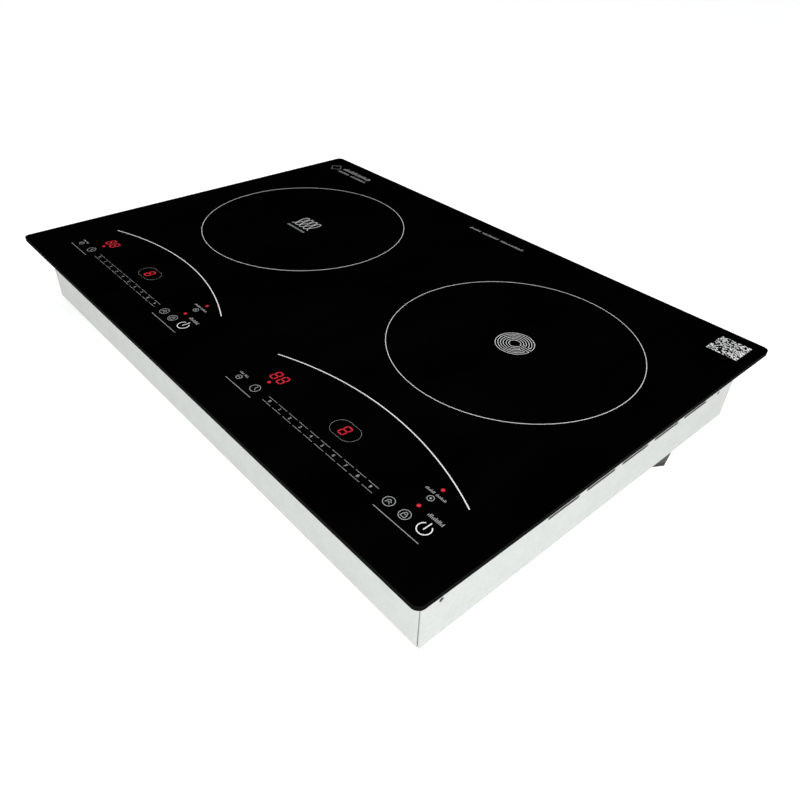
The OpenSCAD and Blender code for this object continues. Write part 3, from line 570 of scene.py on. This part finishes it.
def numeral(bm, text, centre, height):
    """Adds a number in Blender's own font."""
    curve = bpy.data.curves.new("numeral", "FONT")
    curve.body = text
    curve.align_x, curve.align_y = "CENTER", "CENTER"
    curve.size = height / FIGURE_SHARE
    curve.extrude = (PRINT_RISE + PRINT_SINK) / 2
    curve.offset = NUMBER_BOLD
    curve.resolution_u = 3
    text_object = bpy.data.objects.new("numeral", curve)
    mesh = bpy.data.meshes.new_from_object(text_object)
    shift = Matrix.Translation((*centre, (PRINT_RISE - PRINT_SINK) / 2))
    mesh.transform(shift)
    bm.from_mesh(mesh)
    bmesh.ops.remove_doubles(bm, verts=bm.verts, dist=0.001)
    bpy.data.objects.remove(text_object)
    bpy.data.curves.remove(curve)
    bpy.data.meshes.remove(mesh)


def seven_segments(bm, centre):
    """Adds a lit figure of seven bars, all of them on, leaning to the right."""
    wide, high = DIGIT_SIZE
    x, y = (wide - DIGIT_BAR) / 2, (high - DIGIT_BAR) / 2
    level = [((-x, row), (x, row)) for row in (-y, 0, y)]
    upright = [((column, row), (column, row + y)) for column in (-x, x) for row in (-y, 0)]
    half = DIGIT_BAR / 2
    for a, b in level + upright:
        a, b = Vector(a), Vector(b)
        along = (b - a).normalized()
        left = Vector((-along.y, along.x)) * half
        a, b = a + along * DIGIT_GAP, b - along * DIGIT_GAP
        in_a, in_b = a + along * half, b - along * half
        outline = [a, in_a - left, in_b - left, b, in_b + left, in_a + left]
        plate(bm, [(centre[0] + p.x + p.y * DIGIT_SLANT, centre[1] + p.y) for p in outline])


# ---------- What is printed ----------


def zone_ring(bm):
    stroke(bm, circle(RING_RADIUS, steps=192), RING_WIDTH, closed=True)


def induction_symbol(bm):
    """A coil of four turns seen from the side, the general sign for induction."""
    steps = 24 * COIL_TURNS
    path = []
    for i in range(steps + 1):
        turn = COIL_TURNS * i / steps
        angle = 2 * math.pi * turn
        swing = math.sin(angle) * (COIL_SWING - COIL_TOP_SWING * math.cos(angle))
        x = COIL_PITCH * (turn - COIL_TURNS / 2) + swing
        path.append((x, -COIL_HALF_HIGH * math.cos(angle)))
    stroke(bm, path, SYMBOL_WIDTH)


def track_loop(bm, outer, inner, gap):
    """One heater track: two arcs joined at both ends, gap away from the line towards +X."""
    near, far = (math.degrees(math.asin(gap / r)) for r in (outer, inner))
    path = circle(outer, steps=60, start=near, end=360 - near)
    path += circle(inner, steps=40, start=360 - far, end=far)
    stroke(bm, path, TRACK_WIDTH, closed=True)


def radiant_symbol(bm):
    """A disc of six heater tracks, the general sign for a radiant zone."""
    for outer, inner, gap in TRACK_LOOPS:
        track_loop(bm, outer, inner, gap)


def word_ticks(bm, lengths, height, x, y, gap=WORD_GAP):
    """Short upright ticks of uneven height in place of words, centred on x and standing on y."""
    chance = random.Random(WORD_SEED)
    pitch = height * TICK_PITCH
    left = x - (sum(lengths) + gap * (len(lengths) - 1)) / 2
    for length in lengths:
        for i in range(round(length / pitch)):
            tall = height * chance.choice(TICK_HEIGHTS)
            dash(bm, left + i * pitch, left + i * pitch + height * TICK_WIDTH, y + tall / 2, tall)
        left += length + gap


def panel_arc(bm):
    stroke(bm, circle(ARC_RADIUS, ARC_CENTRE, 48, *ARC_ENDS), ARC_WIDTH)


def base_lines(bm):
    for start, end, y in BASE_LINES:
        dash(bm, start, end, y)


def slider(bm):
    for i in range(SLIDER_STEPS):
        start = SLIDER_START + SLIDER_PITCH * i
        for row in DASH_ROWS:
            dash(bm, start, start + DASH_LENGTH, row, FINE)


def slider_numbers(bm):
    for i in range(SLIDER_STEPS):
        middle = SLIDER_START + SLIDER_PITCH * i + DASH_LENGTH / 2
        numeral(bm, str(i), (middle, NUMBER_Y), NUMBER_HEIGHT)


def level_frame(bm):
    """A long rounded frame round the level display."""
    x, y = FRAME_CENTRE
    path = circle(FRAME_RADIUS, (x + FRAME_REACH, y), 24, -90, 90)
    path += circle(FRAME_RADIUS, (x - FRAME_REACH, y), 24, 90, 270)
    stroke(bm, path, FRAME_WIDTH, closed=True)


def power_symbol(bm):
    """A ring open at the top, with a bar in the opening."""
    x, y = POWER_CENTRE
    stroke(bm, circle(POWER_RADIUS, POWER_CENTRE, 36, *POWER_ENDS), POWER_WIDTH)
    stroke(bm, [(x, y + end) for end in POWER_BAR], POWER_WIDTH)


def key_ring(bm, centre):
    stroke(bm, circle(KEY_RADIUS, centre, 40), THIN, closed=True)


def small_key_ring(bm, centre):
    stroke(bm, circle(SMALL_KEY_RADIUS, centre, 28), THIN, closed=True)


def lock_symbol(bm):
    """A padlock in a ring."""
    x, y = LOCK_CENTRE
    key_ring(bm, LOCK_CENTRE)
    half, low, high = 1.8, y - 2.2, y + 0.3
    body = [(x - half, low), (x + half, low), (x + half, high), (x - half, high)]
    stroke(bm, body, LOCK_WIDTH, closed=True)
    radius, foot, shoulder = 1.2, y + 0.4, y + 1.1
    bow = circle(radius, (x, shoulder), 10, 180, 0)
    stroke(bm, [(x - radius, foot), *bow, (x + radius, foot)], LOCK_WIDTH)


def boost_symbol(bm):
    """Two chevrons in a ring, for the highest setting."""
    x, y = BOOST_CENTRE
    key_ring(bm, BOOST_CENTRE)
    half, high = 1.9, 1.6
    for rise in (-1.6, 0.3):
        stroke(bm, [(x - half, y + rise), (x, y + rise + high), (x + half, y + rise)], DETAIL)


def clock_symbol(bm):
    """A clock face without figures."""
    x, y = CLOCK_CENTRE
    key_ring(bm, CLOCK_CENTRE)
    long_hand, short_hand = 2.9, 1.7
    stroke(bm, [(x, y + long_hand), (x, y), (x + short_hand, y - short_hand)], DETAIL)


def preset_symbol(bm):
    """A small ring with a bar."""
    x, y = PRESET_CENTRE
    small_key_ring(bm, PRESET_CENTRE)
    half = 1.2
    stroke(bm, [(x - half, y), (x + half, y)], DETAIL)


def warm_symbol(bm):
    """A small ring with a dot."""
    small_key_ring(bm, WARM_CENTRE)
    plate(bm, circle(WARM_DOT, WARM_CENTRE, 16))


def key_words(bm):
    """Ticks where the keys have words."""
    for words in KEY_WORDS:
        word_ticks(bm, *words)


def timer_digits(bm):
    for centre in TIMER_DIGITS:
        seven_segments(bm, centre)


def level_digit(bm):
    seven_segments(bm, LEVEL_DIGIT)


def status_dots(bm):
    for centre in DOTS:
        plate(bm, circle(DOT_RADIUS, centre, 24))


def zone_word(bm):
    word_ticks(bm, (30.5,), 2.9, 0.0, -1.4)


def rear_words(bm):
    word_ticks(bm, (16.0, 23.0, 31.0), 3.4, 0.0, -1.7, WIDE_GAP)


def corner_mark(bm):
    """A plain diamond with two rows of ticks beside it."""
    stroke(bm, circle(DIAMOND_RADIUS, DIAMOND_CENTRE, 4), THIN, closed=True)
    word_ticks(bm, (53.0,), 6.5, 0.0, 1.6)
    word_ticks(bm, (22.0, 28.0), 4.2, 0.0, -6.8, WIDE_GAP)


def code_square(bm):
    """A square of small random cells. It can't be read as a code."""
    chance = random.Random(CODE_SEED)
    cell = CODE_SIDE / CODE_CELLS
    gap = cell * CODE_GAP
    for row in range(CODE_CELLS):
        y = (row + 0.5) * cell - CODE_SIDE / 2
        start = None
        for column in range(CODE_CELLS + 1):
            on = column < CODE_CELLS and chance.random() < CODE_SHARE
            if on and start is None:
                start = column * cell - CODE_SIDE / 2
            if not on and start is not None:
                dash(bm, start, column * cell - CODE_SIDE / 2 - gap, y, cell - gap)
                start = None


def marking(name, ink, origin, draw, inks):
    """A printed piece on the glass, drawn in millimetres from origin."""
    bm = bmesh.new()
    draw(bm)
    bmesh.ops.recalc_face_normals(bm, faces=bm.faces)
    bm.transform(Matrix.Translation(origin) @ Matrix.Scale(MM, 4))
    mesh = bpy.data.meshes.new(name)
    bm.to_mesh(mesh)
    bm.free()
    mesh.materials.append(inks[ink])
    piece = bpy.data.objects.new(name, mesh)
    bpy.context.collection.objects.link(piece)
    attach(piece, "hob")


PANEL_MARKS = (
    ("panel_arc", "bold", panel_arc),
    ("base_lines", "fine", base_lines),
    ("slider", "fine", slider),
    ("slider_numbers", "fine", slider_numbers),
    ("level_frame", "fine", level_frame),
    ("power_symbol", "bold", power_symbol),
    ("lock_symbol", "fine", lock_symbol),
    ("boost_symbol", "fine", boost_symbol),
    ("clock_symbol", "fine", clock_symbol),
    ("preset_symbol", "fine", preset_symbol),
    ("warm_symbol", "fine", warm_symbol),
    ("key_words", "fine", key_words),
    ("timer_digits", "lit", timer_digits),
    ("level_digit", "lit", level_digit),
    ("status_dots", "lit", status_dots),
)


def print_glass(looks):
    """Everything printed on or lit through the glass, placed from the CAD nodes under it."""
    inks = print_looks(looks)
    glass_low, glass_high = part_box("glass_panel")
    top = glass_high.z

    def over(node, shift=(0.0, 0.0)):
        middle = sum(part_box(node), Vector()) / 2
        return Vector((middle.x + shift[0] * MM, middle.y + shift[1] * MM, top))

    coil, heater = "coil_winding", "radiant_dish"
    marking("zone_ring_left", "bold", over(coil), zone_ring, inks)
    marking("zone_symbol_left", "bold", over(coil, COIL_SHIFT), induction_symbol, inks)
    marking("zone_word", "fine", over(coil, ZONE_WORD_SHIFT), zone_word, inks)
    marking("zone_ring_right", "bold", over(heater), zone_ring, inks)
    marking("zone_symbol_right", "bold", over(heater, TRACKS_SHIFT), radiant_symbol, inks)

    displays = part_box("display_modules")
    panel_y = displays[0].y + PANEL_ABOVE_DISPLAYS * MM
    for side, end, shift in zip(("left", "right"), displays, PANEL_FROM_DISPLAYS):
        middle = Vector((end.x + shift * MM, panel_y, top))
        for name, ink, draw in PANEL_MARKS:
            marking(f"{name}_{side}", ink, middle, draw, inks)

    def from_back(x, inset):
        return Vector((x, glass_high.y - inset * MM, top))

    rear = from_back(REAR_WORDS_X * MM, REAR_WORDS_INSET)
    corner = from_back(glass_low.x + CORNER_MARK_INSET[0] * MM, CORNER_MARK_INSET[1])
    code = from_back(glass_high.x - CODE_INSET[0] * MM, CODE_INSET[1])
    marking("rear_words", "fine", rear, rear_words, inks)
    marking("corner_mark", "fine", corner, corner_mark, inks)
    marking("code_square", "bold", code, code_square, inks)


# ---------- Stage ----------


def floor():
    """A plain pale floor under the lowest point of the part."""
    low = cad_box[0].z
    signs = ((-1, -1), (1, -1), (1, 1), (-1, 1))
    corners = [(x * FLOOR_HALF, y * FLOOR_HALF, low) for x, y in signs]
    mesh = bpy.data.meshes.new("floor")
    mesh.from_pydata(corners, [], [(0, 1, 2, 3)])
    plane = bpy.data.objects.new("floor", mesh)
    bpy.context.collection.objects.link(plane)
    look = Look("floor", Emission_Strength=FLOOR_GLOW, Emission_Color=(1, 1, 1, 1))
    haze = look.noise(0.4)
    colour = look.tint(haze, (0.88, 0.885, 0.885), (0.9, 0.905, 0.905))
    mesh.materials.append(look.wear(colour, look.between(haze, 0.9, 1.0), haze, 0.0001))


def world():
    """A soft light overhead, a pale horizon, and a dark band between that the glass reflects."""
    sky = bpy.data.worlds.new("studio")
    sky.use_nodes = True
    tree = sky.node_tree
    tree.nodes.clear()
    place = tree.nodes.new("ShaderNodeTexCoord")
    height = tree.nodes.new("ShaderNodeSeparateXYZ")
    ramp = tree.nodes.new("ShaderNodeValToRGB")
    light, backdrop = (tree.nodes.new("ShaderNodeBackground") for _ in range(2))
    path = tree.nodes.new("ShaderNodeLightPath")
    mix = tree.nodes.new("ShaderNodeMixShader")
    out = tree.nodes.new("ShaderNodeOutputWorld")
    horizon = HORIZON_STRENGTH / OVERHEAD_STRENGTH
    dark = [(sine, 0.0) for sine in DARK_BAND]
    levels = [(0.0, horizon), (HORIZON_TO, horizon), *dark, (OVERHEAD_FROM, 1.0)]
    stops = ramp.color_ramp.elements
    for _ in range(len(levels) - len(stops)):
        stops.new(0.5)
    for stop, (sine, level) in zip(stops, levels):
        stop.position, stop.color = sine, (level, level, level, 1)
    light.inputs["Strength"].default_value = OVERHEAD_STRENGTH
    backdrop.inputs["Color"].default_value = (*BACKDROP, 1)
    for source, target in (
        (place.outputs["Generated"], height.inputs["Vector"]),
        (height.outputs["Z"], ramp.inputs["Fac"]),
        (ramp.outputs["Color"], light.inputs["Color"]),
        (path.outputs["Is Camera Ray"], mix.inputs["Fac"]),
        (light.outputs["Background"], mix.inputs[1]),
        (backdrop.outputs["Background"], mix.inputs[2]),
        (mix.outputs["Shader"], out.inputs["Surface"]),
    ):
        tree.links.new(source, target)
    bpy.context.scene.world = sky


def key_light():
    """A square soft box at the front right, so near that its light falls off along the front."""
    lamp = bpy.data.lights.new("key", "AREA")
    lamp.size = LAMP_SIDE
    lamp.energy = LAMP_POWER
    key = bpy.data.objects.new("key", lamp)
    key.location = LAMP_PLACE
    key.rotation_euler = (-LAMP_PLACE).to_track_quat("-Z", "Y").to_euler()
    bpy.context.collection.objects.link(key)


def side_light():
    """A weak even light from the right."""
    lamp = bpy.data.lights.new("side", "SUN")
    lamp.energy = SIDE_STRENGTH
    lamp.angle = math.radians(SIDE_SOFTNESS)
    side = bpy.data.objects.new("side", lamp)
    side.rotation_euler = [math.radians(a) for a in SIDE_AIM]
    bpy.context.collection.objects.link(side)


def camera():
    """Looks down at the front right corner."""
    lens = bpy.data.cameras.new("camera")
    lens.lens = CAMERA_LENS
    lens.clip_start, lens.clip_end = CAMERA_REACH
    shot = bpy.data.objects.new("camera", lens)
    turn = Matrix.Rotation(math.radians(CAMERA_HEADING), 4, "Z")
    tilt = Matrix.Rotation(math.radians(90 - CAMERA_DIP), 4, "X")
    roll = Matrix.Rotation(math.radians(CAMERA_ROLL), 4, "Z")
    shot.matrix_world = Matrix.Translation(CAMERA_PLACE) @ turn @ tilt @ roll
    bpy.context.collection.objects.link(shot)
    bpy.context.scene.camera = shot


LOOKS = make_looks()
paint_frame(LOOKS)
print_glass(LOOKS)
floor()
world()
key_light()
side_light()
camera()
bpy.context.scene.view_settings.view_transform = "Standard"
